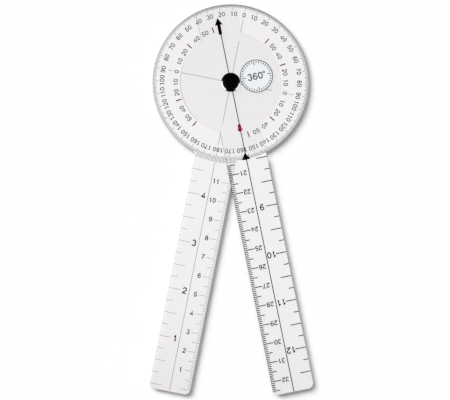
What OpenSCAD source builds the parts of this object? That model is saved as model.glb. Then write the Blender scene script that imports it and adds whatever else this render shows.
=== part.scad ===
// Angle finder with two ruler arms: a clear 360 degree dial with a fixed arm,
// a clear moving arm that turns over it, and a two-part snap rivet as the pivot.
// Origin: on the pivot axis, at the flat back of the rivet cap, where the tool rests.
// +Z points out of the printed face, and the fixed arm lies along -Y.

/* [Dial plate] */
// Radius of the degree dial
dial_r = 40.8; // [38:0.1:60]
// Thickness of the dial plate and its fixed arm
dial_t = 1.5; // [1:0.1:3]
// Distance from the pivot to the end of the fixed arm
fixed_reach = 164.9; // [140:0.1:240]
// Width of the fixed arm
fixed_w = 21.5; // [18:0.5:30]
// Radius of the fixed arm's end corners
fixed_corner_r = 3; // [1:0.5:6]
// Radius of the hollow corners where the fixed arm leaves the dial
root_fillet_r = 3; // [1:0.5:6]

/* [Moving arm] */
// Thickness of the moving arm
arm_t = 1.5; // [1:0.1:3]
// Distance from the pivot to the end of the moving arm
arm_reach = 164.9; // [140:0.1:240]
// Width of the moving arm
arm_w = 21.5; // [18:0.5:30]
// Radius of the moving arm's end corners
arm_corner_r = 3; // [1:0.5:6]
// Radius of the disc round the pivot
disc_r = 26.4; // [18:0.1:32]
// Radius of the hollow corners where the arm leaves the disc
disc_fillet_r = 1; // [0.5:0.5:3]
// Distance from the arm's tail to the dial rim
tail_inset = 0.7; // [0.2:0.1:4]
// Radius of the corners of the tail
tail_corner_r = 0.5; // [0.3:0.1:3]
// Angle between the two arms as stored
rest_angle = 22.8; // [0:0.1:180]

/* [Rivet] */
// Outer diameter of the tubular shank
shank_d = 5; // [4.5:0.1:8]
// Bore of the shank, which takes the cap's post
socket_d = 3; // [2.4:0.1:3.4]
// Depth of the bore, from the foot of the shank
socket_depth = 2.8; // [2.4:0.1:3.4]
// Width of the crossed slits that let the shank's foot spread
slit_w = 0.6; // [0.3:0.1:1]
// Height of the slits above the foot of the shank
slit_h = 2; // [1.6:0.1:2.2]
// Diameter of the front head's flange
head_d = 9.7; // [9:0.1:14]
// Height of the front head's flange, which slopes down from the dome
flange_h = 0.7; // [0.4:0.1:1.2]
// Height of the flange's upright rim
rim_h = 0.1; // [0.05:0.05:0.3]
// Diameter of the dome that stands on the flange
dome_d = 8.2; // [6:0.1:8.8]
// Height of the dome above the flange
dome_h = 1.1; // [0.6:0.1:2]
// Diameter of the back head
cap_d = 9; // [8:0.1:14]
// Thickness of the back head
cap_h = 1.2; // [0.8:0.1:2]
// Radius of the outer edge of the back head
head_edge_r = 0.25; // [0.1:0.05:0.35]
// Height of the cap's post above the back head
post_h = 2.4; // [2:0.1:2.7]
// Height of the snap ring's widest line above the back head
snap_z = 1; // [0.7:0.1:1.3]
// Height of the snap ring
snap_h = 0.8; // [0.4:0.1:1]
// How far the snap ring stands out of the post
snap_out = 0.2; // [0.1:0.05:0.3]

/* [Clearances] */
// Radial running clearance of the moving arm on the shank
running_clear = 0.05; // [0.02:0.01:0.1]
// Radial clearance of the shank in the dial plate
dial_clear = 0.05; // [0.02:0.01:0.1]
// Gap between the dial plate and the moving arm
plate_gap = 0.15; // [0.1:0.05:0.5]
// Gap between the moving arm and the front head
head_gap = 0.1; // [0.05:0.05:0.5]
// Gap between the foot of the shank and the back head
foot_gap = 0.1; // [0.05:0.05:0.3]
// Clearance of the cap's post and snap ring in the shank
snap_clear = 0.03; // [0.01:0.01:0.06]

/* [Printing] */
// Thickness of the ink
ink_t = 0.03; // [0.02:0.01:0.06]
// Width of the fine lines on the dial and along the middle of the fixed arm
fine_w = 0.19; // [0.1:0.01:0.3]
// Width of the fixed arm's ruler ticks
fine_tick_w = 0.15; // [0.1:0.01:0.3]
// Width of the bolder line along the middle of the moving arm
bold_w = 0.44; // [0.15:0.01:0.5]
// Width of the moving arm's ruler ticks
bold_tick_w = 0.45; // [0.15:0.01:0.5]
// Distance that the ink keeps from the edge of a plate
edge_margin = 0.05; // [0.05:0.05:0.5]

/* [Degree scale] */
// Length of the one-degree ticks inside the dial rim
tick_1 = 1.7; // [1:0.1:2]
// Length of the five-degree ticks inside the dial rim
tick_5 = 2.1; // [2:0.1:3]
// Length of the ten-degree ticks inside the dial rim
tick_10 = 2.9; // [2.5:0.1:4]
// How far the scale runs past the rim, across the root of the fixed arm
scale_overrun = 1.6; // [0.5:0.1:3]
// Radius where the inner stretches of the zero axis end
axis_inner_r = 21.9; // [15:0.1:24]
// Radius where the outer stretches of the zero axis start
axis_outer_r = 26.8; // [25:0.1:28]
// Radius where the outer stretches of both axes end
axis_end_r = 33.4; // [30:0.1:34]
// Radius where the outer stretches of the cross axis start
cross_outer_r = 31; // [29:0.1:32]
// Radius where the cross axis ends on its left side
cross_left_r = 26.2; // [15:0.1:27]
// Radius where the cross axis ends on its right side
cross_right_r = 22; // [15:0.1:27]

/* [Inner scale] */
// Distance from the dial rim to the middle of the red ticks
red_inset = 12.1; // [10:0.1:14]
// Length of the red ticks
red_len = 3.2; // [1:0.1:4]
// Width of the red ticks
red_w = 0.5; // [0.2:0.02:0.8]

/* [Rulers] */
// Distance from the pivot to the zero of both rulers, near the end of the fixed arm
zero_reach = 162.2; // [130:0.1:235]
// Length of the millimetre ticks
mm_len = 1.8; // [1:0.1:2.5]
// Length of the half-centimetre ticks
half_cm_len = 3.9; // [2.5:0.1:4.5]
// Length of the centimetre ticks
cm_len = 5.3; // [3:0.1:6]
// Length of the quarter-inch ticks
quarter_len = 3.3; // [2:0.1:5]
// Length of the half-inch and inch ticks
inch_len = 6.1; // [3:0.1:7]
// Last millimetre of the fixed arm's ruler, where the arm is long enough for it
last_mm = 115; // [100:1:180]
// Last quarter inch of the moving arm's ruler, where the arm is long enough for it
last_quarter = 50; // [36:1:52]
// How far the moving arm's inches stand out from a true count across the pivot
inch_shift = 0.8; // [0:0.1:2]
// Space left between the rulers and the dial's scale
ruler_start_gap = 0.5; // [0.2:0.1:2]
// Space left between the last millimetre tick and the end of the moving arm
ruler_end_gap = 1.6; // [0.5:0.1:4]
// Space left between the fixed arm's centre line and its end
fixed_line_gap = 1; // [0.1:0.1:6]
// Space left between the moving arm's centre line and its end
moving_line_gap = 0.1; // [0.1:0.1:6]

/* [Pointers] */
// Radius of the black arrow's tip, on the moving arm's tail
arrow_tip_r = 34.1; // [30:0.1:36]
// Length of the black arrow
arrow_len = 8.8; // [6:0.1:12]
// Width of the black arrow's head
arrow_head_w = 3.9; // [2:0.1:5]
// Length of the black arrow's head
arrow_head_len = 3.4; // [2:0.1:5]
// Width of the black arrow's shaft
arrow_shaft_w = 1.7; // [0.8:0.1:2]
// Radius of the triangle's tip, which points to the dial from the arm
triangle_tip_r = 37.9; // [36:0.1:44]
// Height of the triangle
triangle_h = 3.3; // [2:0.1:5]
// Width of the triangle's base
triangle_w = 4.3; // [2:0.1:6]
// Radius of the red arrow's tip
red_tip_r = 26.9; // [22:0.1:30]
// Length of the red arrow
red_arrow_len = 4.5; // [3:0.1:6]
// Width of the red arrow's head
red_head_w = 2.9; // [2:0.1:4]
// Length of the red arrow's head
red_head_len = 2.1; // [1:0.1:2.5]
// Width of the red arrow's shaft
red_shaft_w = 1.5; // [0.6:0.1:1.6]

/* [Hidden] */
$fn = 96;

mm_per_inch = 25.4;
// How far a hollow corner's circle sinks into the edges that it blends
fillet_sink = 0.01;
// Width of the flat ring on the flange round the foot of the dome
flange_step = 0.05;
// Heights of the stack, from the back of the rivet cap to the underside of the front head
dial_z = cap_h;
arm_z = dial_z + dial_t + plate_gap;
head_z = arm_z + arm_t + head_gap;
foot_z = cap_h + foot_gap;
dial_ink_z = dial_z + dial_t;
arm_ink_z = arm_z + arm_t;
tail_r = dial_r - tail_inset;
red_mid_r = dial_r - red_inset;
post_r = socket_d / 2 - snap_clear;
// Outer radius of the printed degree band
band_r = dial_r + scale_overrun;
// Whole millimetres on the rulers: the fixed arm counts up to the dial's band, and the
// moving arm goes on from the dial rim to its own end
fixed_last_mm = min(last_mm, floor(zero_reach - band_r - ruler_start_gap));
moving_first_mm = ceil(zero_reach + dial_r + ruler_start_gap + 1);
moving_last_mm = floor(zero_reach + arm_reach - ruler_end_gap);
// Whole quarter inches on the rulers
fixed_last_quarter = floor((zero_reach - band_r - ruler_start_gap) / (mm_per_inch / 4) - 0.5);
moving_first_quarter = ceil((zero_reach + dial_r) / (mm_per_inch / 4));
moving_last_quarter = min(last_quarter, floor((zero_reach + arm_reach - ruler_end_gap - inch_shift)
                                              / (mm_per_inch / 4)));

// A bar from the pivot along -Y with two round end corners
module bar_outline(reach, w, corner_r) {
    translate([-w / 2, -reach + corner_r]) square([w, reach - corner_r]);
    translate([-w / 2 + corner_r, -reach]) square([w - 2 * corner_r, 2 * corner_r]);
    for (side = [-1, 1])
        translate([side * (w / 2 - corner_r), -reach + corner_r]) circle(corner_r);
}

// The two hollow corners where a bar of half width half_w leaves a disc along -Y. A web
// between the centres of two circles, each sunk a hair into the bar and the disc, reaches
// a little way into the disc, and the circles are cut out of it.
module root_fillets(round_r, half_w, fillet_r) {
    touch_x = half_w + fillet_r - fillet_sink;
    touch_y = sqrt(pow(round_r + fillet_r - fillet_sink, 2) - touch_x * touch_x);
    sunk = (round_r - fillet_r / 2) / (round_r + fillet_r);
    difference() {
        polygon([[-touch_x, -touch_y], [touch_x, -touch_y],
                 [touch_x * sunk, -touch_y * sunk], [-touch_x * sunk, -touch_y * sunk]]);
        for (side = [-1, 1])
            translate([side * touch_x, -touch_y]) circle(fillet_r);
    }
}

// Dial and fixed arm, one clear plate
module dial_plate() {
    color("gainsboro", 0.4)
        translate([0, 0, dial_z])
            difference() {
                linear_extrude(dial_t) {
                    circle(dial_r);
                    bar_outline(fixed_reach, fixed_w, fixed_corner_r);
                    root_fillets(dial_r, fixed_w / 2, root_fillet_r);
                }
                translate([0, 0, -1]) cylinder(h = dial_t + 2, d = shank_d + 2 * dial_clear);
            }
}

// Tail of the moving arm: it ends in an arc that follows the dial rim, between two round
// corners. The arc's wedge runs from the pivot through the centres of the corners, which
// are sunk a hair into the arc.
module tail_outline() {
    corner_x = arm_w / 2 - tail_corner_r;
    centre_r = tail_r - tail_corner_r + fillet_sink;
    corner_y = sqrt(centre_r * centre_r - corner_x * corner_x);
    intersection() {
        circle(tail_r);
        polygon([[0, 0], [2 * corner_x, 2 * corner_y], [-2 * corner_x, 2 * corner_y]]);
    }
    translate([-arm_w / 2, 0]) square([arm_w, corner_y]);
    for (side = [-1, 1])
        translate([side * corner_x, corner_y]) circle(tail_corner_r);
}

// Outline of the moving arm: the bar runs through the pivot disc
module moving_arm_outline() {
    circle(disc_r);
    bar_outline(arm_reach, arm_w, arm_corner_r);
    tail_outline();
    root_fillets(disc_r, arm_w / 2, disc_fillet_r);
    rotate(180) root_fillets(disc_r, arm_w / 2, disc_fillet_r);
}

// Clear moving arm, turned to its stored angle
module moving_arm() {
    color("gainsboro", 0.4)
        rotate(rest_angle)
            translate([0, 0, arm_z])
                difference() {
                    linear_extrude(arm_t) moving_arm_outline();
                    translate([0, 0, -1]) cylinder(h = arm_t + 2, d = shank_d + 2 * running_clear);
                }
}

// Half section of the front head's flange: from its upright rim it slopes up to the dome
module flange_section() {
    polygon([[0, 0], [head_d / 2, 0], [head_d / 2, rim_h],
             [dome_d / 2 + flange_step, flange_h], [0, flange_h]]);
}

// Half section of the back head that stands on Y = 0, with its upper outer edge rounded
module head_section(r, h, edge_r) {
    square([r - edge_r, h]);
    square([r, h - edge_r]);
    translate([r - edge_r, h - edge_r]) circle(edge_r);
}

// Low dome that stands on Z = 0: a slice off a sphere, whose poles lie off the slice
module dome(r, h) {
    sphere_r = (r * r + h * h) / (2 * h);
    intersection() {
        translate([0, 0, h - sphere_r]) rotate([90, 0, 0]) sphere(sphere_r);
        cylinder(h = 2 * h, r = r + 1);
    }
}

// Half section of a post with a snap ring, wider by extra all round
module snap_post_section(extra, top) {
    r = post_r + extra;
    square([r, top]);
    polygon([[0, snap_z - snap_h / 2 - extra], [r, snap_z - snap_h / 2 - extra],
             [r + snap_out, snap_z], [r, snap_z + snap_h / 2 + extra], [0, snap_z + snap_h / 2 + extra]]);
}

// Front half of the rivet: flanged and domed head, and a split tubular shank whose bore
// has a groove for the snap ring
module rivet_stud() {
    color("black")
        difference() {
            union() {
                translate([0, 0, head_z]) {
                    rotate_extrude() flange_section();
                    translate([0, 0, flange_h]) dome(dome_d / 2, dome_h);
                }
                translate([0, 0, foot_z]) cylinder(h = head_z - foot_z, d = shank_d);
            }
            translate([0, 0, cap_h])
                rotate_extrude() snap_post_section(snap_clear, socket_depth + foot_gap);
            for (turn = [0, 90])
                rotate(turn) translate([-shank_d, -slit_w / 2, foot_z - 1])
                    cube([2 * shank_d, slit_w, slit_h + 1]);
        }
}

// Back half of the rivet: flat head and a post with the snap ring
module rivet_cap() {
    color("black") {
        translate([0, 0, cap_h])
            mirror([0, 0, 1])
                rotate_extrude() head_section(cap_d / 2, cap_h, head_edge_r);
        translate([0, 0, cap_h]) rotate_extrude() snap_post_section(0, post_h);
    }
}

// A line of ink along Y, from one distance to another
module ink_line(w, from, to) {
    translate([-w / 2, from]) square([w, to - from]);
}

// Length of the degree tick at an angle
function degree_tick(a) = a % 10 == 0 ? tick_10 : a % 5 == 0 ? tick_5 : tick_1;

// Outer end of the degree tick at an angle from the fixed arm: past the rim on the arm,
// and just inside the rim elsewhere
function tick_end(a) = a < asin((fixed_w / 2 - edge_margin) / band_r) ? band_r : dial_r - edge_margin;

// Degree ticks all round the rim, with the zero axis and the cross axis
module degree_scale() {
    color("dimgray")
        translate([0, 0, dial_ink_z])
            linear_extrude(ink_t) {
                for (a = [0 : 359])
                    rotate(a) ink_line(fine_w, dial_r - degree_tick(a), tick_end(abs(a - 180)));
                for (turn = [0, 180])
                    rotate(turn) {
                        ink_line(fine_w, head_d / 2, axis_inner_r);
                        ink_line(fine_w, axis_outer_r, axis_end_r);
                    }
                for (turn = [90, -90])
                    rotate(turn) ink_line(fine_w, cross_outer_r, axis_end_r);
                rotate(90) ink_line(fine_w, head_d / 2, cross_left_r);
                rotate(-90) ink_line(fine_w, head_d / 2, cross_right_r);
            }
}

// Red ticks at 30 and 60 degrees on both sides of the cross axis
module red_ticks() {
    color("crimson")
        translate([0, 0, dial_ink_z])
            linear_extrude(ink_t)
                for (half = [90, -90], a = [-60, -30, 30, 60])
                    rotate(half + a) ink_line(red_w, red_mid_r - red_len / 2, red_mid_r + red_len / 2);
}

// Ticks of a ruler along Y, in from the edge at half_w on one side: from and to count
// steps of a pitch, and the lengths hold the tick length for each step of one repeat
module ruler_ticks(w, half_w, side, pitch, from, to, zero_y, direction, lengths) {
    for (i = [from : to]) {
        length = lengths[i % len(lengths)];
        start = side > 0 ? half_w - edge_margin - length : edge_margin - half_w;
        translate([start, zero_y + direction * i * pitch - w / 2]) square([length, w]);
    }
}

// Tick lengths of one centimetre and of one inch
cm_lengths = [cm_len, for (i = [1 : 9]) i == 5 ? half_cm_len : mm_len];
inch_lengths = [inch_len, quarter_len];

// Inch ruler on the left edge of the fixed arm, centimetres on the right, centre line
module fixed_ruler() {
    color("dimgray")
        translate([0, 0, dial_ink_z])
            linear_extrude(ink_t) {
                ruler_ticks(fine_tick_w, fixed_w / 2, 1, 1, 0, fixed_last_mm, -zero_reach, 1, cm_lengths);
                ruler_ticks(fine_tick_w, fixed_w / 2, -1, mm_per_inch / 4, 0, fixed_last_quarter, -zero_reach,
                            1, inch_lengths);
                ink_line(fine_w, fixed_line_gap - fixed_reach, -band_r);
            }
}

// The rulers go on along the moving arm, which carries on past the dial when the tool is
// opened flat: centimetres on its left edge here, inches on its right, centre line
module moving_ruler() {
    color("black")
        rotate(rest_angle)
            translate([0, 0, arm_ink_z])
                linear_extrude(ink_t) {
                    ruler_ticks(bold_tick_w, arm_w / 2, -1, 1, moving_first_mm, moving_last_mm, zero_reach,
                                -1, cm_lengths);
                    ruler_ticks(bold_tick_w, arm_w / 2, 1, mm_per_inch / 4, moving_first_quarter,
                                moving_last_quarter, zero_reach - inch_shift, -1, inch_lengths);
                    ink_line(bold_w, moving_line_gap - arm_reach, -triangle_tip_r - triangle_h);
                    ink_line(bold_w, -triangle_tip_r, -red_tip_r);
                    ink_line(bold_w, red_arrow_len - red_tip_r, -head_d / 2);
                    ink_line(bold_w, head_d / 2, arrow_tip_r - arrow_len);
                }
}

// An arrow that points along +Y, with a round tail
module arrow(tip, length, head_w, head_len, shaft_w) {
    polygon([[0, tip], [-head_w / 2, tip - head_len], [head_w / 2, tip - head_len]]);
    translate([-shaft_w / 2, tip - length + shaft_w / 2]) square([shaft_w, length - head_len]);
    translate([0, tip - length + shaft_w / 2]) circle(shaft_w / 2);
}

// Arrow on the moving arm's tail and triangle on the arm, both read against the degrees
module black_pointers() {
    color("black")
        rotate(rest_angle)
            translate([0, 0, arm_ink_z])
                linear_extrude(ink_t) {
                    arrow(arrow_tip_r, arrow_len, arrow_head_w, arrow_head_len, arrow_shaft_w);
                    polygon([[0, -triangle_tip_r], [-triangle_w / 2, -triangle_tip_r - triangle_h],
                             [triangle_w / 2, -triangle_tip_r - triangle_h]]);
                }
}

// Red arrow on the arm's side of the pivot, read against the inner scale
module red_pointer() {
    color("crimson")
        rotate(rest_angle + 180)
            translate([0, 0, arm_ink_z])
                linear_extrude(ink_t)
                    arrow(red_tip_r, red_arrow_len, red_head_w, red_head_len, red_shaft_w);
}

dial_plate();
moving_arm();
rivet_stud();
rivet_cap();
degree_scale();
red_ticks();
fixed_ruler();
moving_ruler();
black_pointers();
red_pointer();
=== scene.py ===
"""Angle finder: a clear degree dial with a fixed ruler arm, and a clear ruler arm that
turns over it on a black snap rivet. Metres, origin on the pivot axis, face up."""

import math

import bmesh
import bpy
import numpy as np
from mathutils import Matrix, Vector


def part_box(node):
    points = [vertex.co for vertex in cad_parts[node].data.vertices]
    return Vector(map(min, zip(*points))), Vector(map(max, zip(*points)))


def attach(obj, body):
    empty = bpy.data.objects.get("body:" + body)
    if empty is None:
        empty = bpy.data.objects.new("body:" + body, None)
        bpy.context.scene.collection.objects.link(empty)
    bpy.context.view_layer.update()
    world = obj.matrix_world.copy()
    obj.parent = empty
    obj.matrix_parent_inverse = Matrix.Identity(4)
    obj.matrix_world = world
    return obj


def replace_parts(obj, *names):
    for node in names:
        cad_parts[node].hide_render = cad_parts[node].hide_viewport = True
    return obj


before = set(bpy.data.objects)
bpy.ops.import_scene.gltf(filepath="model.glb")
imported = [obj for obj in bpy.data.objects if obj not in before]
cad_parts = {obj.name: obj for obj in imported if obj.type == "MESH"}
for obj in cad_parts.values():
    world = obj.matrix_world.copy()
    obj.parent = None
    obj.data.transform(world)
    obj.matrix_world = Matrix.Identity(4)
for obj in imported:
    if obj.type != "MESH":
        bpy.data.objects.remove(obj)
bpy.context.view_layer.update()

MM = 0.001

# ---- Dial plate ---------------------------------------------------------------------
# The round dial and the fixed arm are one plate, cut from clear rigid sheet. The saw
# line is broken by hand, so every edge is slightly round, and the rivet's shank goes
# through a bore in the middle.

EDGE_R = 0.28 * MM          # radius of the broken edges
HALF_W = 10.75 * MM         # half the width of both arms
BORE_R = 2.55 * MM
CORNER_R = 3 * MM           # corners at the ends of both arms
ROOT_R = 3 * MM             # hollow corners where the fixed arm leaves the dial
ARM_LENGTH = 164.9 * MM     # from the pivot to the ends of both arms
ARC_STEP = math.radians(2.5)    # the longest step along an arc
ARC_STEPS = 6               # the fewest steps along an arc
EDGE_STEPS = 6              # points round each broken edge

dial_low, dial_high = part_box("dial_plate")
DIAL_R = dial_high.x
FIXED_REACH = -dial_low.y


def arc(cx, cy, radius, start, end):
    """Points and outward normals along an arc from one angle to another. Backwards, it
    is a hollow corner, and its normals point at its own centre."""
    steps = max(ARC_STEPS, math.ceil(abs(end - start) / ARC_STEP))
    angle = np.linspace(start, end, steps + 1)
    ray = np.stack([np.cos(angle), np.sin(angle)], axis=1)
    return np.array([cx, cy]) + radius * ray, np.sign(end - start) * ray


def outline(*arcs):
    """A closed outline: arcs in turn, with straight sides between them."""
    points = np.concatenate([points for points, normals in arcs])
    normals = np.concatenate([normals for points, normals in arcs])
    return points, normals


def dial_outline():
    """Anticlockwise: the rim, the left root, the two end corners, the right root."""
    root_x = HALF_W + ROOT_R
    root_y = math.sqrt((DIAL_R + ROOT_R) ** 2 - root_x**2)
    root_angle = math.atan2(root_y, root_x)
    end_x, end_y = HALF_W - CORNER_R, CORNER_R - FIXED_REACH
    return outline(
        arc(0, 0, DIAL_R, -root_angle, math.pi + root_angle),
        arc(-root_x, -root_y, ROOT_R, root_angle, 0),
        arc(-end_x, end_y, CORNER_R, math.pi, 1.5 * math.pi),
        arc(end_x, end_y, CORNER_R, 1.5 * math.pi, 2 * math.pi),
        arc(root_x, -root_y, ROOT_R, math.pi, math.pi - root_angle),
    )


def grid_faces(rings, steps):
    """Quads of a grid whose columns and rows both run round and close."""
    ring, step = np.meshgrid(np.arange(rings), np.arange(steps), indexing="ij")
    here, there = ring * steps, (ring + 1) % rings * steps
    next_step = (step + 1) % steps
    corners = (here + step, there + step, there + next_step, here + next_step)
    return np.stack(corners, axis=-1).reshape(-1, 4)


def mesh_object(name, points, faces, smooth):
    """A mesh object from an array of points, an array of quads and a flag for each quad."""
    mesh = bpy.data.meshes.new(name)
    mesh.from_pydata(points.reshape(-1, 3).tolist(), [], faces.tolist())
    mesh.polygons.foreach_set("use_smooth", np.broadcast_to(smooth, len(faces)).tolist())
    mesh.update()
    thing = bpy.data.objects.new(name, mesh)
    bpy.context.scene.collection.objects.link(thing)
    return thing


def plate(name, points, normals, low_z, high_z, turn=0.0):
    """A plate with a bore and broken edges: a section that runs from the bore over the
    top face, round the edge and back under the plate, carried round the outline."""
    angle = np.radians(np.linspace(0, 90, EDGE_STEPS))
    inset = EDGE_R * (1 - np.sin(angle))
    drop = EDGE_R * (1 - np.cos(angle))
    section_in = np.concatenate([inset, inset[::-1]])
    section_z = np.concatenate([high_z - drop, (low_z + drop)[::-1]])
    edge = points[:, None, :] - section_in[None, :, None] * normals[:, None, :]
    bore = points / np.linalg.norm(points, axis=1, keepdims=True) * BORE_R
    flat = np.concatenate([bore[:, None], edge, bore[:, None]], axis=1)
    z = np.concatenate([[high_z], section_z, [low_z]])
    cos, sin = math.cos(turn), math.sin(turn)
    x = flat[..., 0] * cos - flat[..., 1] * sin
    y = flat[..., 0] * sin + flat[..., 1] * cos
    grid = np.stack([x, y, np.broadcast_to(z, x.shape)], axis=-1)
    rings, steps = grid.shape[:2]
    faces = grid_faces(rings, steps)
    step = np.arange(len(faces)) % steps
    smooth = (step > 0) & (step < steps - 2) & (step != EDGE_STEPS)
    return mesh_object(name, grid, faces, smooth)


class Socket:
    """A shader value with Python's operators, each of which adds a Math node."""

    def __init__(self, tree, link):
        self.tree, self.link = tree, link

    def node(self, kind, settings=(), **inputs):
        """Adds a node: its settings first, then the values or links of its sockets, each
        named by its name or, as in i6, by its number."""
        new = self.tree.nodes.new(kind)
        for key, value in dict(settings).items():
            setattr(new, key, value)
        for key, value in inputs.items():
            index = int(key[1:]) if key[0] == "i" and key[1:].isdigit() else key.replace("_", " ")
            socket = new.inputs[index]
            if isinstance(value, Socket):
                self.tree.links.new(value.link, socket)
            else:
                socket.default_value = value
        return new

    def math(self, operation, *values, clamp=False):
        """One Math node on this value and others."""
        inputs = {f"i{n}": value for n, value in enumerate((self, *values))}
        new = self.node("ShaderNodeMath", {"operation": operation, "use_clamp": clamp}, **inputs)
        return Socket(self.tree, new.outputs[0])

    def __add__(self, other):
        return self.math("ADD", other)

    def __mul__(self, other):
        return self.math("MULTIPLY", other)

    def __sub__(self, other):
        return self.math("SUBTRACT", other)

    def __rsub__(self, other):
        return (self * -1.0).math("ADD", other)

    def __truediv__(self, other):
        return self.math("DIVIDE", other)

    def __pow__(self, other):
        return self.math("POWER", other)

    __radd__, __rmul__ = __add__, __mul__


def material(name, **constants):
    """A Principled material with its constant sockets set; returns it, its Principled
    node and a Socket to build on: the Object coordinates."""
    made = bpy.data.materials.new(name)
    made.use_nodes = True
    tree = made.node_tree
    principled = tree.nodes["Principled BSDF"]
    for key, value in constants.items():
        principled.inputs[key.replace("_", " ")].default_value = value
    coordinates = tree.nodes.new("ShaderNodeTexCoord")
    return made, principled, Socket(tree, coordinates.outputs["Object"])


WALL_POWER = 0.6            # below 1, so that a broken edge soon counts as wall
LEFT_POWER = 4              # how strictly a wall has to face left to take the darker painted shade
LEFT_GAIN = 8.0             # how soon a broken edge counts as such a wall
LEAST_LEVEL = 0.01          # keeps the level part of a normal from being zero
FADE = 2 * MM               # stretch beyond the dial in which the arm's values take over
REACH_POWER = 4             # how late the painted shade gathers towards the arm's end
LEAN_LEAST = -0.5           # where along the dial, in radii, the haze stops changing
RIM_BAND = 1.45 * MM        # how far the rim's painted shade reaches into the sheet
RIM_GAIN = 1.3              # the painted shade is full this many times sooner than the band's width
RIM_POWER = 2.3             # how the rim's painted shade grows towards the dial's top
ROOT_GAIN, ROOT_LEVEL = 20, 18.8    # end the rim's painted shade where the arm leaves the dial
CLOUD, CLOUD_SCALE = 0.02, 40.0     # soft clouds in the haze
GLEAM, GLEAM_POWER = 0.5, 10        # the gleam of a face that is seen nearly edge-on
HALF_GREY = 0.08            # rim's painted shade at which the colour is half way to the shade's tint
LEAST_DARK = 0.2            # strength from which a left wall takes the full tint of painted shade
SHADE_T = 0.1 * MM          # how close to shade_z a face throws the shadow
# Tints of painted shade: grey for the walls, and darker for the rim's band and the walls that face left
WALL_SHADE_TINT = (0.5, 0.495, 0.5, 1)
PAINTED_SHADE_TINT = (0.06, 0.06, 0.065, 1)
FACE_ROUGH, WALL_ROUGH = 0.08, 0.85     # a face's roughness, and what a wall adds to it
ROUGH_GAIN = 2.5            # how soon a broken edge is as rough as a wall


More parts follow.
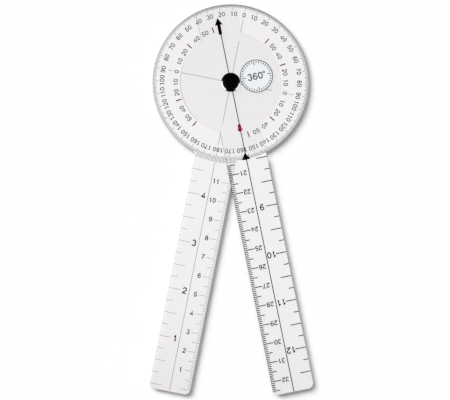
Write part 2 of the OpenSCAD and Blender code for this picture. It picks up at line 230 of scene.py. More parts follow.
def clear_sheet(name, turn, tint, haze_and_shade, rim, wall_shade, shade, shade_z):
    """Clear rigid sheet, for a piece whose own length runs from +Y to -Y after a turn.
    Its faces are nearly invisible. Their faint tinted haze has four shares: everywhere,
    for the place along the dial, off the dial, and growing with the fourth power of the
    distance towards the arm's end. The share off the dial is a painted shadow of the sheet
    on the table under it, and the share towards the arm's end is painted shade. Its walls
    gather a thin grey line of painted shade, for the dark of light bent in a clear edge:
    how solid that looks is given for plain walls and for those that face left, on the dial
    and off it, and the walls that face left take a darker grey. Round the rim, given by its
    radius and the strength of its painted shade at the bottom and the top, a grey band of
    painted shade reaches a little way into the sheet, stronger towards the dial's top. The
    face at shade_z throws the sheet's shadow, and holds back one share of the light over
    the dial and another off it."""
    made, principled, place = material(name, IOR=1.49)
    tree = place.tree
    rim_r, rim_shade_low, rim_shade_top = rim
    everywhere, lengthwise, off_dial, far = haze_and_shade
    plain_wall_shade, left_wall_shade, left_wall_shade_off_dial = wall_shade
    cos, sin = math.cos(turn), math.sin(turn)
    normal = Socket(tree, place.link.node.outputs["Normal"])
    facing = place.node("ShaderNodeSeparateXYZ", i0=normal)
    split = place.node("ShaderNodeSeparateXYZ", i0=place)
    x, y, z = (Socket(tree, split.outputs[axis]) for axis in "XYZ")
    normal_x, normal_y, normal_z = (Socket(tree, facing.outputs[axis]) for axis in "XYZ")
    across, along = x * cos + y * sin, y * cos - x * sin
    # A thin grey line of painted shade on the walls, for the dark of light bent in a clear edge
    upright = 1 - normal_z.math("ABSOLUTE")
    wall = upright.math("POWER", WALL_POWER, clamp=True)
    level = (normal_x * normal_x + normal_y * normal_y).math("SQRT").math("MAXIMUM", LEAST_LEVEL)
    sideways = (normal_x * cos + normal_y * sin).math("ABSOLUTE") / level
    # Walls that face left take a darker painted shade than the others
    left = across.math("LESS_THAN", 0.0) * sideways ** LEFT_POWER
    left = left * (upright * LEFT_GAIN).math("MINIMUM", 1.0)
    reach = (along * -1 / ARM_LENGTH).math("MINIMUM", 1.0, clamp=True)
    beyond = ((along * -1 - DIAL_R) / FADE).math("MINIMUM", 1.0, clamp=True)
    # A grey band of painted shade inside the rim, stronger towards the dial's top
    radius = (x * x + y * y).math("SQRT")
    band = ((radius - (rim_r - RIM_BAND)) * (RIM_GAIN / RIM_BAND)).math("MINIMUM", 1.0, clamp=True)
    off_arm = (along * (ROOT_GAIN / rim_r) + ROOT_LEVEL).math("MINIMUM", 1.0, clamp=True)
    top = (along / rim_r).math("MAXIMUM", 0.0) ** RIM_POWER
    rim_shade = band * off_arm * (rim_shade_low + top * (rim_shade_top - rim_shade_low))
    cloudy = place.node(
        "ShaderNodeTexNoise", Vector=place, Scale=CLOUD_SCALE, Detail=3.0, Roughness=0.55)
    cloud = (Socket(tree, cloudy.outputs["Fac"]) - 0.5) * CLOUD
    glance = place.node("ShaderNodeLayerWeight", Blend=0.5)
    gleam = Socket(tree, glance.outputs["Facing"]) ** GLEAM_POWER
    lean = (along / DIAL_R).math("MAXIMUM", LEAN_LEAST) * lengthwise
    # The haze, with a painted shadow off the dial, painted shade growing towards the arm's end and the
    # rim's painted shade
    face = everywhere + lean + beyond * off_dial + (reach ** REACH_POWER) * far + cloud + rim_shade
    edge = face + wall * (plain_wall_shade + rim_shade - face)
    left_shade = left * (left_wall_shade + beyond * (left_wall_shade_off_dial - left_wall_shade))
    alpha = (edge.math("MAXIMUM", left_shade) + gleam * GLEAM).math("MINIMUM", 1.0)
    shadow = Socket(tree, place.node("ShaderNodeLightPath").outputs["Is Shadow Ray"])
    shade_on_dial, shade_off_dial = shade
    share = shade_on_dial + beyond * (shade_off_dial - shade_on_dial)
    held = z.math("COMPARE", shade_z, SHADE_T) * share
    tree.links.new((alpha + shadow * (held - alpha)).link, principled.inputs["Alpha"])
    # How far the colour goes to the tint of painted shade, at the rim and on the walls that face left
    rim_shade_share = rim_shade / (rim_shade + HALF_GREY)
    grey = rim_shade_share.math("MAXIMUM", left_shade.math("GREATER_THAN", LEAST_DARK))
    mixing = {"data_type": "RGBA"}
    pale = place.node("ShaderNodeMix", mixing, Factor=wall, i6=tint, i7=WALL_SHADE_TINT)
    pale_tone = Socket(tree, pale.outputs[2])
    tone = place.node("ShaderNodeMix", mixing, Factor=grey, i6=pale_tone, i7=PAINTED_SHADE_TINT)
    tree.links.new(tone.outputs[2], principled.inputs["Base Color"])
    rough = FACE_ROUGH + (wall * ROUGH_GAIN).math("MINIMUM", 1.0) * WALL_ROUGH
    tree.links.new(rough.link, principled.inputs["Roughness"])
    return made


# The dial's sheet: its tint; its haze and painted shade; the rim's radius and painted shade at the
# bottom and the top; the walls' painted shade, plain and facing left on the dial and off it; the share
# of light its shadow holds back over the dial and off it
DIAL_TINT = (0.685, 0.55, 0.595, 1)
DIAL_HAZE_AND_SHADE = (0.09, 0.014, 0.0, 0.08)
DIAL_RIM_SHADE = (DIAL_R, 0.046, 0.32)
DIAL_WALL_SHADE = (0.72, 0, 0)
DIAL_SHADE = (0.81, 0.87)
dial_sheet = clear_sheet(
    "clear_dial_sheet", 0, DIAL_TINT, DIAL_HAZE_AND_SHADE, DIAL_RIM_SHADE, DIAL_WALL_SHADE, DIAL_SHADE, dial_high.z)
dial_plate = plate("clear_dial", *dial_outline(), dial_low.z, dial_high.z)
dial_plate.data.materials.append(dial_sheet)
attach(dial_plate, "dial")
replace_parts(dial_plate, "dial_plate")

# ---- Dial and fixed arm printing ------------------------------------------------------
# Screen-printed ink on the plate. The grey degree ticks and the fixed arm's rulers are the
# frame's own pieces, and get their ink here. The rest of the print is made further on.

INK_GRAIN = 900.0
INK_ROUGHNESS = 0.45
ROUGHNESS_SPREAD = 0.1      # how far the roughness goes to either side


def ink(name, colour, gloss=0.15, spread=0.2):
    """Screen ink: one dense colour, slightly uneven in tone and gloss."""
    made, principled, place = material(name, IOR=1.5, Specular_IOR_Level=gloss)
    tree = place.tree
    grain = place.node("ShaderNodeTexNoise", Vector=place, Scale=INK_GRAIN, Detail=3.0)
    tone = Socket(tree, grain.outputs["Fac"])
    dark, light = ((*(share * channel for channel in colour), 1) for share in (1 - spread, 1 + spread))
    mixed = place.node("ShaderNodeMix", {"data_type": "RGBA"}, Factor=tone, i6=dark, i7=light)
    tree.links.new(mixed.outputs[2], principled.inputs["Base Color"])
    rough = INK_ROUGHNESS - ROUGHNESS_SPREAD + tone * (2 * ROUGHNESS_SPREAD)
    tree.links.new(rough.link, principled.inputs["Roughness"])
    return made


GREY_INK = ink("grey_ink", (0.03, 0.03, 0.033))
BLACK_INK = ink("black_ink", (0.0012, 0.0012, 0.0014), 0.05)
RED_INK = ink("red_ink", (0.25, 0.01, 0.048))
TICK_RED_INK = ink("tick_red_ink", (0.14, 0.006, 0.032))

for node in ("degree_scale", "fixed_ruler"):
    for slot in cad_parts[node].material_slots:
        slot.material = GREY_INK

# ---- Numbers ---------------------------------------------------------------------------
# The numbers are printed in the same ink, in a plain upright sans. Each figure is a few
# pen strokes, and a stroke is a flat ribbon of ink carried along its line.

FIGURE_W = 0.66             # width of a figure, as a share of its height
FIGURE_PITCH = 0.77         # distance from one figure to the next
ONE_GAIN = 1.45             # how much broader than the others the 1 is drawn
MITRE_LEAST = 0.45          # keeps the mitre of a sharp corner short


def ellipse(cx, cy, rx, ry, start, end, steps=14):
    """Points along an ellipse between two angles in degrees."""
    angle = np.radians(np.linspace(start, end, steps + 1))
    return np.stack([cx + rx * np.cos(angle), cy + ry * np.sin(angle)], axis=1)


def strokes(figure):
    """The pen lines of one figure in a unit square, as a list of (points, closed)."""
    if figure == "0":
        return [(ellipse(0.5, 0.5, 0.4, 0.44, 0, 345, 24), True)]
    if figure == "1":
        return [(np.array([[0.2, 0.72], [0.42, 0.77], [0.55, 0.93], [0.55, 0.0]]), False)]
    if figure == "2":
        top = ellipse(0.49, 0.68, 0.385, 0.26, 172, -38)
        foot = np.array([[0.2, 0.19], [0.1, 0.06], [0.93, 0.06]])
        return [(np.concatenate([top, foot]), False)]
    if figure == "3":
        top = ellipse(0.47, 0.73, 0.34, 0.21, 165, -80)
        bowl = ellipse(0.47, 0.285, 0.4, 0.235, 80, -168)
        return [(top, False), (bowl, False)]
    if figure == "4":
        return [(np.array([[0.96, 0.25], [0.08, 0.25], [0.7, 0.92], [0.7, 0.0]]), False)]
    if figure == "5":
        bowl = ellipse(0.47, 0.305, 0.4, 0.25, 128, -165)
        top = np.array([[0.87, 0.94], [0.24, 0.94], [0.14, 0.46]])
        return [(np.concatenate([top, bowl]), False)]
    if figure == "6":
        loop = ellipse(0.5, 0.305, 0.385, 0.25, 0, 345, 20)
        shoulder = ellipse(0.53, 0.68, 0.36, 0.26, 20, 95, 7)
        back = np.concatenate([shoulder, ellipse(0.53, 0.4, 0.425, 0.54, 95, 190, 10)])
        return [(loop, True), (back, False)]
    if figure == "7":
        return [(np.array([[0.07, 0.94], [0.9, 0.94], [0.62, 0.66], [0.46, 0.36], [0.39, 0.0]]), False)]
    if figure == "8":
        return [(ellipse(0.5, 0.73, 0.33, 0.21, 0, 345, 18), True),
                (ellipse(0.5, 0.285, 0.395, 0.235, 0, 345, 20), True)]
    if figure == "9":
        return [(1 - points, closed) for points, closed in strokes("6")]
    raise ValueError(figure)


def ribbon(points, closed, width, level):
    """A flat bar of ink along a line: at each point two corners above and two below, half
    a width to either side along the mitre of the two stretches that meet there. Its level
    is the heights of its back and its top."""
    low_z, high_z = level
    ahead = np.roll(points, -1, axis=0) - points
    if not closed:
        ahead[-1] = ahead[-2]
    ahead /= np.linalg.norm(ahead, axis=1, keepdims=True)
    behind = np.roll(ahead, 1, axis=0)
    if not closed:
        behind[0] = ahead[0]
    side = np.stack([-(ahead + behind)[:, 1], (ahead + behind)[:, 0]], axis=1)
    share = 1 + np.sum(ahead * behind, axis=1, keepdims=True)
    mitre = side / np.maximum(share, MITRE_LEAST) * width / 2
    count = len(points)
    corners = [(points + mitre, high_z), (points - mitre, high_z),
               (points - mitre, low_z), (points + mitre, low_z)]
    grid = np.stack([np.column_stack([flat, np.full(count, z)]) for flat, z in corners], axis=1)
    faces = grid_faces(count, 4)
    if not closed:
        faces = np.concatenate([faces[:-4], [[3, 2, 1, 0], np.arange(4) + 4 * (count - 1)]])
    return grid.reshape(-1, 3), faces


def figures(text, height, weight):
    """The strokes of a whole number, centred on the origin and upright along +Y."""
    placed = []
    for place, figure in enumerate(text):
        shift = (place - (len(text) - 1) / 2) * FIGURE_PITCH
        width = weight * height * (ONE_GAIN if figure == "1" else 1)
        for points, closed in strokes(figure):
            flat = (points - 0.5) * [FIGURE_W, 1 - weight / 6] + [shift, 0]
            placed.append((flat * height, closed, width))
    return placed


def spin(turn):
    """The matrix that turns flat points, given as rows, by an angle."""
    cos, sin = math.cos(turn), math.sin(turn)
    return np.array([[cos, sin], [-sin, cos]])


def number(text, height, weight, x, y, turn):
    """The strokes of a number turned by an angle and set at a place on the plate."""
    placed = figures(text, height, weight)
    return [(points @ spin(turn) + [x, y], closed, width) for points, closed, width in placed]


def printed(name, lines, level, paint, body):
    """One layer of printing: all its ribbons as one piece, which rides on its plate."""
    points, faces, count = [], [], 0
    for line, closed, width in lines:
        new_points, new_faces = ribbon(line, closed, width, level)
        points.append(new_points)
        faces.append(new_faces + count)
        count += len(new_points)
    layer = mesh_object(name, np.concatenate(points), np.concatenate(faces), False)
    layer.data.materials.append(paint)
    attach(layer, body)
    return layer


dial_ink = [corner.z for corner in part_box("degree_scale")]

DEGREE_H = 2.4 * MM         # height of the degree numbers
DEGREE_PEN = 0.155          # width of their strokes, as a share of that
DEGREE_RING = 35.9 * MM     # their middle radius
INNER_RING = 28.8 * MM      # middle radius of the inner scale's numbers


def ring_number(value, ring, clockwise):
    """A number on the dial, its top outwards, at an angle clockwise from the zero."""
    turn = -math.radians(clockwise)
    x, y = -math.sin(turn) * ring, math.cos(turn) * ring
    return number(str(value), DEGREE_H, DEGREE_PEN, x, y, turn)


# The numbers were set in runs, each a little tighter than its ticks. For each run: its
# side, its first and last number, the degrees that the first stands back towards the zero,
# and the change for each number after it.
RUNS = [(1, 10, 90, 1.4, -0.17), (1, 100, 180, 1.3, -0.1),
        (-1, 10, 90, 1.3, -0.19), (-1, 100, 170, 0.6, -0.14)]
# The inner scale's numbers, and the angles from the cross that they stand at
INNER_NUMBERS = {10: 11.0, 20: 21.8, 40: 40.2, 50: 51.1}

degree_lines = ring_number(0, DEGREE_RING, 0)
for hand, first, last, back, step in RUNS:
    for count, value in enumerate(range(first, last + 1, 10)):
        degree_lines += ring_number(value, DEGREE_RING, hand * (value - back - step * count))
for cross in (90, -90):
    degree_lines += ring_number(0, INNER_RING, cross)
    for value, angle in INNER_NUMBERS.items():
        for hand in (1, -1):
            degree_lines += ring_number(value, INNER_RING, cross + hand * angle)
printed("degree_numbers", degree_lines, dial_ink, GREY_INK, "dial")

# Two red ticks between the numbers of each quarter of the inner scale
RED_TICK = (27.1 * MM, 30.3 * MM)   # from the pivot to their inner and outer ends
RED_TICK_W = 0.58 * MM
red_lines = []
for cross in (90, -90):
    for angle in (-60, -30, 30, 60):
        way = math.radians(cross + angle)
        ray = np.array([math.sin(way), math.cos(way)])
        red_lines.append((np.array([radius * ray for radius in RED_TICK]), False, RED_TICK_W))
red_ticks = printed("red_tick_marks", red_lines, dial_ink, TICK_RED_INK, "dial")
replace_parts(red_ticks, "red_ticks")

ZERO_REACH = 162.2 * MM     # from the pivot to the zero of both rulers
INCH = 25.4 * MM
INCH_H = 3.3 * MM           # height of the inch numbers
CM_H = 2.5 * MM             # height of the centimetre numbers
INCH_X = -2.4 * MM          # middles of the fixed arm's inch numbers, across it
CM_RIGHT = 4.5 * MM         # right ends of its centimetre numbers
FIXED_PEN = 0.18            # width of their strokes, as a share of their height

fixed_lines = []
for inch in range(1, 5):
    fixed_lines += number(str(inch), INCH_H, FIXED_PEN, INCH_X, inch * INCH - ZERO_REACH, 0)
for cm in range(1, 12):
    middle = CM_RIGHT - len(str(cm)) * FIGURE_PITCH * CM_H / 2
    fixed_lines += number(str(cm), CM_H, FIXED_PEN, middle, cm * 10 * MM - ZERO_REACH, 0)
printed("fixed_arm_numbers", fixed_lines, dial_ink, GREY_INK, "dial")

# ---- Moving arm ------------------------------------------------------------------------
# Cut from the same clear sheet: a ruler arm that runs through a disc round the pivot and
# ends in a short tail that follows the dial's rim. It lies on the dial and turns there.

TAIL_INSET = 0.7 * MM       # from the tail's end to the dial's rim
DISC_R = 26.4 * MM
DISC_ROOT_R = 1 * MM        # hollow corners between the disc and the arm
TAIL_CORNER_R = 0.5 * MM
REST_ANGLE = math.radians(22.8)

arm_low, arm_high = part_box("moving_arm")


def moving_outline():
    """Anticlockwise from the disc's right side: root, tail corner, tail, tail corner,
    root, disc's left side, root, the two end corners, root."""
    root_x = HALF_W + DISC_ROOT_R
    root_y = math.sqrt((DISC_R + DISC_ROOT_R) ** 2 - root_x**2)
    root_angle = math.atan2(root_y, root_x)
    tail_r = DIAL_R - TAIL_INSET
    tail_x = HALF_W - TAIL_CORNER_R
    tail_y = math.sqrt((tail_r - TAIL_CORNER_R) ** 2 - tail_x**2)
    tail_angle = math.atan2(tail_y, tail_x)
    end_x, end_y = HALF_W - CORNER_R, CORNER_R - ARM_LENGTH
    half_turn = math.pi
    return outline(
        arc(0, 0, DISC_R, -root_angle, root_angle),
        arc(root_x, root_y, DISC_ROOT_R, half_turn + root_angle, half_turn),
        arc(tail_x, tail_y, TAIL_CORNER_R, 0, tail_angle),
        arc(0, 0, tail_r, tail_angle, half_turn - tail_angle),
        arc(-tail_x, tail_y, TAIL_CORNER_R, half_turn - tail_angle, half_turn),
        arc(-root_x, root_y, DISC_ROOT_R, 0, -root_angle),
        arc(0, 0, DISC_R, half_turn - root_angle, half_turn + root_angle),
        arc(-root_x, -root_y, DISC_ROOT_R, root_angle, 0),
        arc(-end_x, end_y, CORNER_R, half_turn, 1.5 * half_turn),
        arc(end_x, end_y, CORNER_R, 1.5 * half_turn, 2 * half_turn),
        arc(root_x, -root_y, DISC_ROOT_R, half_turn, half_turn - root_angle),
    )


# The arm's sheet: its tint; its haze with a painted shadow off the dial and painted shade towards its
# end; the tail's radius and painted shade; the walls' painted shade, plain and facing left on the dial
# and off it; the share of light its shadow holds back over the dial and off it
ARM_TINT = (0.545, 0.485, 0.505, 1)
ARM_HAZE_AND_SHADE = (0.06, 0.0, 0.046, 0.085)
ARM_RIM_SHADE = (DIAL_R - TAIL_INSET, 0.0, 0.03)
ARM_WALL_SHADE = (0.15, 0.52, 1.0)
ARM_SHADE = (0.1, 0.89)
arm_sheet = clear_sheet(
    "clear_arm_sheet", REST_ANGLE, ARM_TINT, ARM_HAZE_AND_SHADE, ARM_RIM_SHADE, ARM_WALL_SHADE, ARM_SHADE, arm_low.z)
moving_arm = plate("clear_arm", *moving_outline(), arm_low.z, arm_high.z, REST_ANGLE)
moving_arm.data.materials.append(arm_sheet)
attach(moving_arm, "arm")
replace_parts(moving_arm, "moving_arm")

# ---- Moving arm printing -----------------------------------------------------------------
# Black ink on the top face: the rulers go on from the fixed arm's when the tool is opened
# flat, so their numbers stand the other way up. Arrows show where to read the dial.

ARM_MM = range(205, 326)    # the millimetres on this arm
MM_TICK, HALF_CM_TICK, CM_TICK = 1.8 * MM, 3.9 * MM, 5.5 * MM
ARM_QUARTERS = range(32, 51)    # the quarters of an inch on this arm
QUARTER_TICK, HALF_INCH_TICK = 2.6 * MM, 5.6 * MM
ARM_TICK_W = 0.45 * MM
ARM_LINE_W = 0.44 * MM
TICK_END = HALF_W - 0.05 * MM   # from the arm's middle to the outer ends of its ticks
ARM_ZERO = ZERO_REACH + 0.15 * MM   # the ticks were printed a hair closer to the pivot
INCH_SHIFT = 0.8 * MM       # how far this arm's inches stand out from a true count
# The stretches of the middle line, towards the tail, between the pointers and the rivet
ARM_LINE = [(-164.8, -41.2), (-37.9, -26.9), (-22.4, -4.85), (4.85, 25.3)]

arm_ink = [corner.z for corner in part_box("moving_ruler")]


def on_arm(lines):
    """Lines of print, drawn with the arm along -Y, turned to where the arm rests."""
    return [(points @ spin(REST_ANGLE), closed, width) for points, closed, width in lines]


ruler_lines = []
for start, end in ARM_LINE:
    ruler_lines.append((np.array([[0, start], [0, end]]) * MM, False, ARM_LINE_W))
for mm in ARM_MM:
    length = CM_TICK if mm % 10 == 0 else HALF_CM_TICK if mm % 5 == 0 else MM_TICK
    y = ARM_ZERO - mm * MM
    ruler_lines.append((np.array([[-TICK_END, y], [length - TICK_END, y]]), False, ARM_TICK_W))
for quarter in ARM_QUARTERS:
    length = HALF_INCH_TICK if quarter % 2 == 0 else QUARTER_TICK
    y = ARM_ZERO - INCH_SHIFT - quarter * INCH / 4
    ruler_lines.append((np.array([[TICK_END - length, y], [TICK_END, y]]), False, ARM_TICK_W))
ruler_lines = on_arm(ruler_lines)
moving_arm_ruler = printed("moving_arm_ruler", ruler_lines, arm_ink, BLACK_INK, "arm")
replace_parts(moving_arm_ruler, "moving_ruler")

ARM_INCH_X, ARM_CM_X = 2.9 * MM, -3.1 * MM      # middles of the numbers, across the arm
ARM_INCH_PEN, ARM_CM_PEN = 0.165, 0.17      # width of their strokes, as a share of their height

moving_lines = []
for inch in range(9, 13):
    y = ZERO_REACH - INCH_SHIFT - inch * INCH
    moving_lines += number(str(inch), INCH_H, ARM_INCH_PEN, ARM_INCH_X, y, math.pi)
for cm in range(21, 33):
    y = ZERO_REACH - cm * 10 * MM
    moving_lines += number(str(cm), CM_H, ARM_CM_PEN, ARM_CM_X, y, math.pi)
printed("moving_arm_numbers", on_arm(moving_lines), arm_ink, BLACK_INK, "arm")

# The pointers are flat shapes, given by their corners in millimetres across the arm and
# along it, towards the tail. A black arrow stands on the tail and a black triangle on the
# arm, both read against the dial's degrees, and a red arrow reads the inner scale. The
# print stands a little left of the arm's middle.
PRINT_SHIFT = -0.17 * MM
ARROW = [(-0.85, 25.6), (-0.5, 25.35), (0.5, 25.35), (0.85, 25.6), (0.85, 30.55),
         (2.05, 30.55), (0.0, 34.3), (-2.05, 30.55), (-0.85, 30.55)]
TRIANGLE = [(-2.25, -41.2), (2.25, -41.2), (0.0, -37.45)]
RED_ARROW = [(0.84, -22.55), (0.5, -22.35), (-0.5, -22.35), (-0.84, -22.55), (-0.84, -24.75),
             (-1.6, -24.75), (0.0, -26.95), (1.6, -24.75), (0.84, -24.75)]


def flat_shape(corners, level):
    """A flat layer of ink with the given corners, anticlockwise, between the heights of
    its level: its back, its top and its sides, turned with the arm."""
    flat = corners @ spin(REST_ANGLE)
    count = len(flat)
    points = np.concatenate([np.column_stack([flat, np.full(count, z)]) for z in level])
    faces = [list(range(count))[::-1], list(range(count, 2 * count))]
    for side in range(count):
        after = (side + 1) % count
        faces.append([side, after, count + after, count + side])
    return points, faces


def joined(name, shells):
    """One object from closed shells, each given by its points and its faces."""
    points, faces = [], []
    for shell_points, shell_faces in shells:
        start = sum(len(each) for each in points)
        points.append(shell_points)
        faces += [[start + corner for corner in face] for face in shell_faces]
    mesh = bpy.data.meshes.new(name)
    mesh.from_pydata(np.concatenate(points).tolist(), [], faces)
    piece = bpy.data.objects.new(name, mesh)
    bpy.context.scene.collection.objects.link(piece)
    return piece


def filled(name, shapes, paint):
    """One piece of the arm's printing, made of flat shapes."""
    piece = joined(name, shapes)
    piece.data.materials.append(paint)
    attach(piece, "arm")
    return piece


arrow, triangle, red_arrow = (flat_shape(np.array(corners) * MM + [PRINT_SHIFT, 0], arm_ink)
                              for corners in (ARROW, TRIANGLE, RED_ARROW))
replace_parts(filled("arrow_and_triangle", [arrow, triangle], BLACK_INK), "black_pointers")
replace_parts(filled("red_arrow", [red_arrow], RED_INK), "red_pointer")

# ---- Mark on the disc ----------------------------------------------------------------------
# A small round mark beside the pivot, printed in navy ink on a ground of white ink: a ring
# of ticks, one for each ten degrees of the turn, round the size of a full turn.

NAVY_INK = ink("navy_ink", (0.004, 0.02, 0.065))
WHITE_INK = ink("white_ink", (0.85, 0.87, 0.885), spread=0.02)
MARK_AT = (13.8 * MM, 0.5 * MM)     # the middle of the mark, across and along the arm
MARK_R = 8.4 * MM
MARK_LINE = 0.38 * MM
GROUND_T = 0.012 * MM
QUARTER_RAY, RAY = 2.6 * MM, 1.5 * MM   # from the ring to the inner ends of its ticks
RAY_GAP = 0.5 * MM          # from the ring to their outer ends
TURN_H = 3.6 * MM           # height of the number in the middle
TURN_PEN = 0.15
TURN_X = -0.7 * MM
SIGN_X, SIGN_Y = 4.1 * MM, 1.35 * MM    # the degree sign's middle, its radius and its line
SIGN_R = 0.5 * MM
SIGN_LINE = 0.35 * MM

mark_ring = ellipse(0, 0, MARK_R, MARK_R, 0, 357, 119)
mark_lines = [(mark_ring, True, MARK_LINE)]
for tick in range(36):
    angle = math.radians(10 * tick)
    ray = np.array([math.cos(angle), math.sin(angle)])
    inner_r = MARK_R - (QUARTER_RAY if tick % 9 == 0 else RAY)
    mark_lines.append((np.array([inner_r * ray, (MARK_R - RAY_GAP) * ray]), False, MARK_LINE))
mark_lines += number("360", TURN_H, TURN_PEN, TURN_X, 0, 0)
mark_lines.append((ellipse(SIGN_X, SIGN_Y, SIGN_R, SIGN_R, 0, 330, 11), True, SIGN_LINE))
mark_lines = on_arm([(points + MARK_AT, closed, width) for points, closed, width in mark_lines])
ground_top = arm_ink[0] + GROUND_T
printed("disc_mark", mark_lines, (ground_top, arm_ink[1]), NAVY_INK, "arm")
ground = flat_shape(mark_ring + MARK_AT, (arm_ink[0], ground_top))
filled("disc_mark_ground", [ground], WHITE_INK)

# ---- Rivet -------------------------------------------------------------------------------
# A two-part snap rivet, moulded in glossy black plastic: a domed head with a thin flange
# in front, and a flat head behind.

PEEL_SCALE = 700.0
PEEL_DEPTH = 0.0001
LEAST_ROUGH, ROUGH_SPREAD = 0.16, 0.08


def glossy_black():
    """Moulded black plastic, polished, with a faint orange-peel in its gloss."""
    made, principled, place = material(
        "glossy_black", Base_Color=(0.0005, 0.0005, 0.0005, 1), IOR=1.46, Specular_IOR_Level=0.4)
    tree = place.tree
    peel = place.node("ShaderNodeTexNoise", Vector=place, Scale=PEEL_SCALE, Detail=2.0)
    level = Socket(tree, peel.outputs["Fac"])
    rough = LEAST_ROUGH + level * ROUGH_SPREAD
    tree.links.new(rough.link, principled.inputs["Roughness"])
    bump = place.node("ShaderNodeBump", Strength=0.04, Distance=PEEL_DEPTH, Height=level)
    tree.links.new(bump.outputs["Normal"], principled.inputs["Normal"])
    return made


RIVET_BLACK = glossy_black()
stud_low, stud_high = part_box("rivet_stud")
cap_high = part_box("rivet_cap")[1]

SHANK_R = 2.5 * MM
SOCKET_R = 1.5 * MM
GROOVE = 0.2 * MM           # depth of the snap ring's groove, and how far the ring stands out
GROOVE_H = 0.86 * MM
SNAP_Z = 1 * MM             # from the back head to the middle of the snap ring
SNAP_H = 0.4 * MM           # half the height of the snap ring
SLIT_W = 0.6 * MM
SLIT_H = 2 * MM
SOCKET_TOP = 2.9 * MM       # above the back head
FINGER_LAP = 0.05 * MM      # how far the fingers run into the shank above them
FLANGE_H = 0.7 * MM
FLANGE_R = 5.02 * MM
FLANGE_BREAK = 0.03 * MM    # the corner under the flange's rim
RIM_H = 0.055 * MM          # height at which the flange's rim starts to round
SLOPE_FOOT = 0.1 * MM       # height that the flange slopes down to
DOME_R = 4.3 * MM
DOME_LEDGE = 0.05 * MM      # width of the level ledge round the dome
HEAD_Z = 4.45 * MM          # underside of the flange
HEAD_CURVE = 0.12 * MM      # the mould's small radius at the flange's rim
CAP_T = 1.2 * MM
CAP_EDGE_R = 0.25 * MM
CAP_BREAK = 0.05 * MM       # the corner at the back head's inner side
POST_R = 1.47 * MM
TIP_BREAK = 0.15 * MM       # the corners at the ends of the shank and the post
WELD = 1e-7                 # points closer than this are one
SHARP = math.radians(25)    # edges bent by more than this stay sharp


def turned(profile, steps=96):
    """A profile of radii and heights turned round the pivot axis: points and quads. It
    starts and ends on the axis, and runs with the solid on its left."""
    angle = np.arange(steps) * (2 * math.pi / steps)
    ray = np.stack([np.cos(angle), np.sin(angle)], axis=1)
    flat = profile[None, :, :1] * ray[:, None, :]
    grid = np.concatenate([flat, np.broadcast_to(profile[None, :, 1:], flat.shape[:2] + (1,))], axis=2)
    faces = grid_faces(steps, len(profile)).reshape(steps, -1, 4)[:, : len(profile) - 1]
    return grid.reshape(-1, 3), faces.reshape(-1, 4)


def finger(quarter, profile, steps=12):
    """One of the shank's four spring fingers: a closed profile swept through a quarter
    turn, less half a slit at each side, and closed with its own outline at both ends."""
    margin = np.arcsin(SLIT_W / 2 / profile[:, 0])
    share = np.linspace(0, 1, steps + 1)[:, None]
    angle = quarter * math.pi / 2 + margin + share * (math.pi / 2 - 2 * margin)
    height = np.broadcast_to(profile[:, 1], angle.shape)
    grid = np.stack([profile[:, 0] * np.cos(angle), profile[:, 0] * np.sin(angle), height], axis=2)
    count = len(profile)
    faces = grid_faces(steps + 1, count)[: steps * count]
    ends = [list(range(count))[::-1], list(range(steps * count, (steps + 1) * count))]
    return grid.reshape(-1, 3), faces.tolist() + ends


def moulded(name, shells, node):
    """A black piece of the rivet from closed shells, smooth but for its corners."""
    piece = joined(name, shells)
    mesh = piece.data
    welded = bmesh.new()
    welded.from_mesh(mesh)
    bmesh.ops.remove_doubles(welded, verts=welded.verts, dist=WELD)
    bmesh.ops.recalc_face_normals(welded, faces=welded.faces)
    welded.to_mesh(mesh)
    welded.free()
    mesh.shade_smooth()
    mesh.set_sharp_from_angle(angle=SHARP)
    mesh.materials.append(RIVET_BLACK)
    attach(piece, "dial")
    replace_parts(piece, node)
    return piece


def rounding(centre_r, centre_z, radius, start, end):
    """Points of a small rounding in a profile, between two angles in degrees."""
    return ellipse(centre_r, centre_z, radius, radius, start, end, EDGE_STEPS)


foot_z, slit_top = stud_low.z, stud_low.z + SLIT_H
dome_h = stud_high.z - HEAD_Z - FLANGE_H
sphere_r = (DOME_R**2 + dome_h**2) / (2 * dome_h)
dome_angle = math.degrees(math.asin(DOME_R / sphere_r))
slope = math.degrees(math.atan2(FLANGE_H - SLOPE_FOOT, FLANGE_R - DOME_R - DOME_LEDGE))
head_profile = np.concatenate([
    [[0, CAP_T + SOCKET_TOP], [SOCKET_R, CAP_T + SOCKET_TOP]],
    [[SOCKET_R, slit_top], [SHANK_R, slit_top], [SHANK_R, HEAD_Z]],
    [[FLANGE_R - FLANGE_BREAK, HEAD_Z], [FLANGE_R, HEAD_Z + FLANGE_BREAK]],
    rounding(FLANGE_R - HEAD_CURVE, HEAD_Z + RIM_H, HEAD_CURVE, 0, 90 - slope),
    [[DOME_R + DOME_LEDGE, HEAD_Z + FLANGE_H]],
    ellipse(0, stud_high.z - sphere_r, sphere_r, sphere_r, 90 - dome_angle, 90, 16),
])
head_profile[-1, 0] = 0
snap_z = CAP_T + SNAP_Z
finger_profile = np.array([
    [SHANK_R, slit_top + FINGER_LAP], [SOCKET_R, slit_top + FINGER_LAP],
    [SOCKET_R, snap_z + GROOVE_H / 2], [SOCKET_R + GROOVE, snap_z], [SOCKET_R, snap_z - GROOVE_H / 2],
    [SOCKET_R, foot_z], [SHANK_R - TIP_BREAK, foot_z], [SHANK_R, foot_z + TIP_BREAK],
])
fingers = [finger(quarter, finger_profile) for quarter in range(4)]
rivet_front = moulded("rivet_front", [turned(head_profile)] + fingers, "rivet_stud")

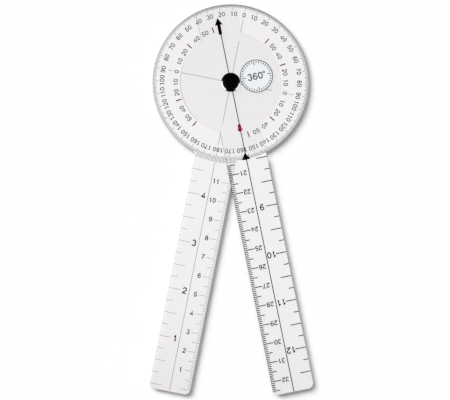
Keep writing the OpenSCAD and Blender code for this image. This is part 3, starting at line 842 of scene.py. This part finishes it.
cap_r = cap_high.x
cap_profile = np.concatenate([
    [[0, 0]], rounding(cap_r - CAP_EDGE_R, CAP_EDGE_R, CAP_EDGE_R, -90, 0),
    [[cap_r, CAP_T - CAP_BREAK], [cap_r - CAP_BREAK, CAP_T], [POST_R, CAP_T]],
    [[POST_R, snap_z - SNAP_H], [POST_R + GROOVE, snap_z], [POST_R, snap_z + SNAP_H]],
    [[POST_R, cap_high.z - TIP_BREAK], [POST_R - TIP_BREAK, cap_high.z], [0, cap_high.z]],
])
rivet_back = moulded("rivet_back", [turned(cap_profile)], "rivet_cap")

# ---- Table, light and camera ----------------------------------------------------------------
# The tool lies on a white table. The camera looks straight down at it, turned so that the
# fixed arm points down and to the left, and the light comes from the upper left.

PIXEL = MM / 1.915          # size of one of the picture's pixels on the tool
PICTURE = (450, 400)
PIVOT_AT = (230.75, 82.25)   # the pivot in the picture
ROLL = math.radians(11.25)
CAMERA_UP = 1.5
SENSOR = 36 * MM
TABLE_HALF = 3.0            # half the table's width
WHITE = 0.98                # how white the table and the walls look
FILL, GLOSS_FILL = 0.125, 0.01      # the walls' light, and how bright they are in gloss

scene = bpy.context.scene
scene.view_settings.view_transform = "Standard"

floor_corners = np.array([[-1, -1, 0], [1, -1, 0], [1, 1, 0], [-1, 1, 0]]) * TABLE_HALF
floor = mesh_object("table", floor_corners, np.array([[0, 1, 2, 3]]), False)
table_paint, table_principled, table_place = material(
    "white_table", Base_Color=(WHITE, WHITE, WHITE, 1), Roughness=0.9, Specular_IOR_Level=0.0)
table_tree = table_paint.node_tree
seen = table_place.node("ShaderNodeLightPath")
seen_through = Socket(table_tree, seen.outputs["Transparent Depth"]).math("MINIMUM", 1.0)
seen_through *= Socket(table_tree, seen.outputs["Is Camera Ray"])
glow = table_place.node("ShaderNodeEmission", Color=(1, 1, 1, 1), Strength=WHITE)
both = table_place.node("ShaderNodeMixShader", Fac=seen_through)
table_tree.links.new(table_principled.outputs[0], both.inputs[1])
table_tree.links.new(glow.outputs[0], both.inputs[2])
table_tree.links.new(both.outputs[0], table_tree.nodes["Material Output"].inputs["Surface"])
floor.data.materials.append(table_paint)

right = np.array([math.cos(ROLL), math.sin(ROLL)])
up = np.array([-math.sin(ROLL), math.cos(ROLL)])
aim = right * (PICTURE[0] / 2 - PIVOT_AT[0]) * PIXEL - up * (PICTURE[1] / 2 - PIVOT_AT[1]) * PIXEL
camera_data = bpy.data.cameras.new("camera")
camera_data.sensor_width = SENSOR / MM
camera_data.lens = SENSOR / MM * CAMERA_UP / (PICTURE[0] * PIXEL)
camera = bpy.data.objects.new("camera", camera_data)
camera.location = (aim[0], aim[1], CAMERA_UP + arm_high.z)
camera.rotation_euler = (0, 0, ROLL)
scene.collection.objects.link(camera)
scene.camera = camera

# One wide soft light from the upper left, in three parts. For each: the direction that it
# shines from, in degrees anticlockwise from the picture's right, its lean from upright, its
# angular size and its strength.
SUNS = [(135, 48, 36, 3.2), (88, 35, 30, 0.55), (188, 36, 30, 0.27)]
for side, lean, size, strength in SUNS:
    sun_data = bpy.data.lights.new("key", "SUN")
    sun_data.energy = strength
    sun_data.angle = math.radians(size)
    sun = bpy.data.objects.new("key", sun_data)
    sun.rotation_euler = (math.radians(lean), 0, math.radians(side) + ROLL + math.pi / 2)
    sun.visible_glossy = False
    scene.collection.objects.link(sun)

# Two low strip lights, left and right in front, which only show as gloss on the rivet. For
# each: its direction, its length in metres and its strength.
STRIPS = [(-157, 1.1, 47), (-30, 0.85, 27)]
STRIP_W = 0.28
STRIP_AWAY, STRIP_UP = 0.9, 0.15    # from the pivot, and above the table
STRIP_LEAN = math.radians(81)
glossy_pieces = bpy.data.collections.new("glossy_pieces")
for piece in (rivet_front, rivet_back):
    glossy_pieces.objects.link(piece)
for side, length, strength in STRIPS:
    strip_data = bpy.data.lights.new("strip", "AREA")
    strip_data.shape = "RECTANGLE"
    strip_data.size, strip_data.size_y = length, STRIP_W
    strip_data.energy = strength
    strip = bpy.data.objects.new("strip", strip_data)
    bearing = math.radians(side) + ROLL
    strip.location = (STRIP_AWAY * math.cos(bearing), STRIP_AWAY * math.sin(bearing), STRIP_UP)
    strip.rotation_euler = (STRIP_LEAN, 0, bearing + math.pi / 2)
    strip.visible_diffuse = False
    strip.visible_camera = False
    strip.light_linking.receiver_collection = glossy_pieces
    scene.collection.objects.link(strip)

# White walls all round, whose light fills the shadows a little. In gloss they show dark, so
# that the rivet stays black between its highlights.
world = bpy.data.worlds.new("studio")
world.use_nodes = True
world_tree = world.node_tree
fill = world_tree.nodes["Background"]
fill.inputs["Color"].default_value = (1, 1, 1, 1)
fill.inputs["Strength"].default_value = FILL
dim = world_tree.nodes.new("ShaderNodeBackground")
dim.inputs["Strength"].default_value = GLOSS_FILL
backdrop = world_tree.nodes.new("ShaderNodeBackground")
backdrop.inputs["Color"].default_value = (1, 1, 1, 1)
backdrop.inputs["Strength"].default_value = WHITE
path = world_tree.nodes.new("ShaderNodeLightPath")
sides = world_tree.nodes.new("ShaderNodeMixShader")
around = world_tree.nodes.new("ShaderNodeMixShader")
world_tree.links.new(path.outputs["Is Glossy Ray"], sides.inputs["Fac"])
world_tree.links.new(fill.outputs[0], sides.inputs[1])
world_tree.links.new(dim.outputs[0], sides.inputs[2])
world_tree.links.new(path.outputs["Is Camera Ray"], around.inputs["Fac"])
world_tree.links.new(sides.outputs[0], around.inputs[1])
world_tree.links.new(backdrop.outputs[0], around.inputs[2])
world_tree.links.new(around.outputs[0], world_tree.nodes["World Output"].inputs["Surface"])
scene.world = world
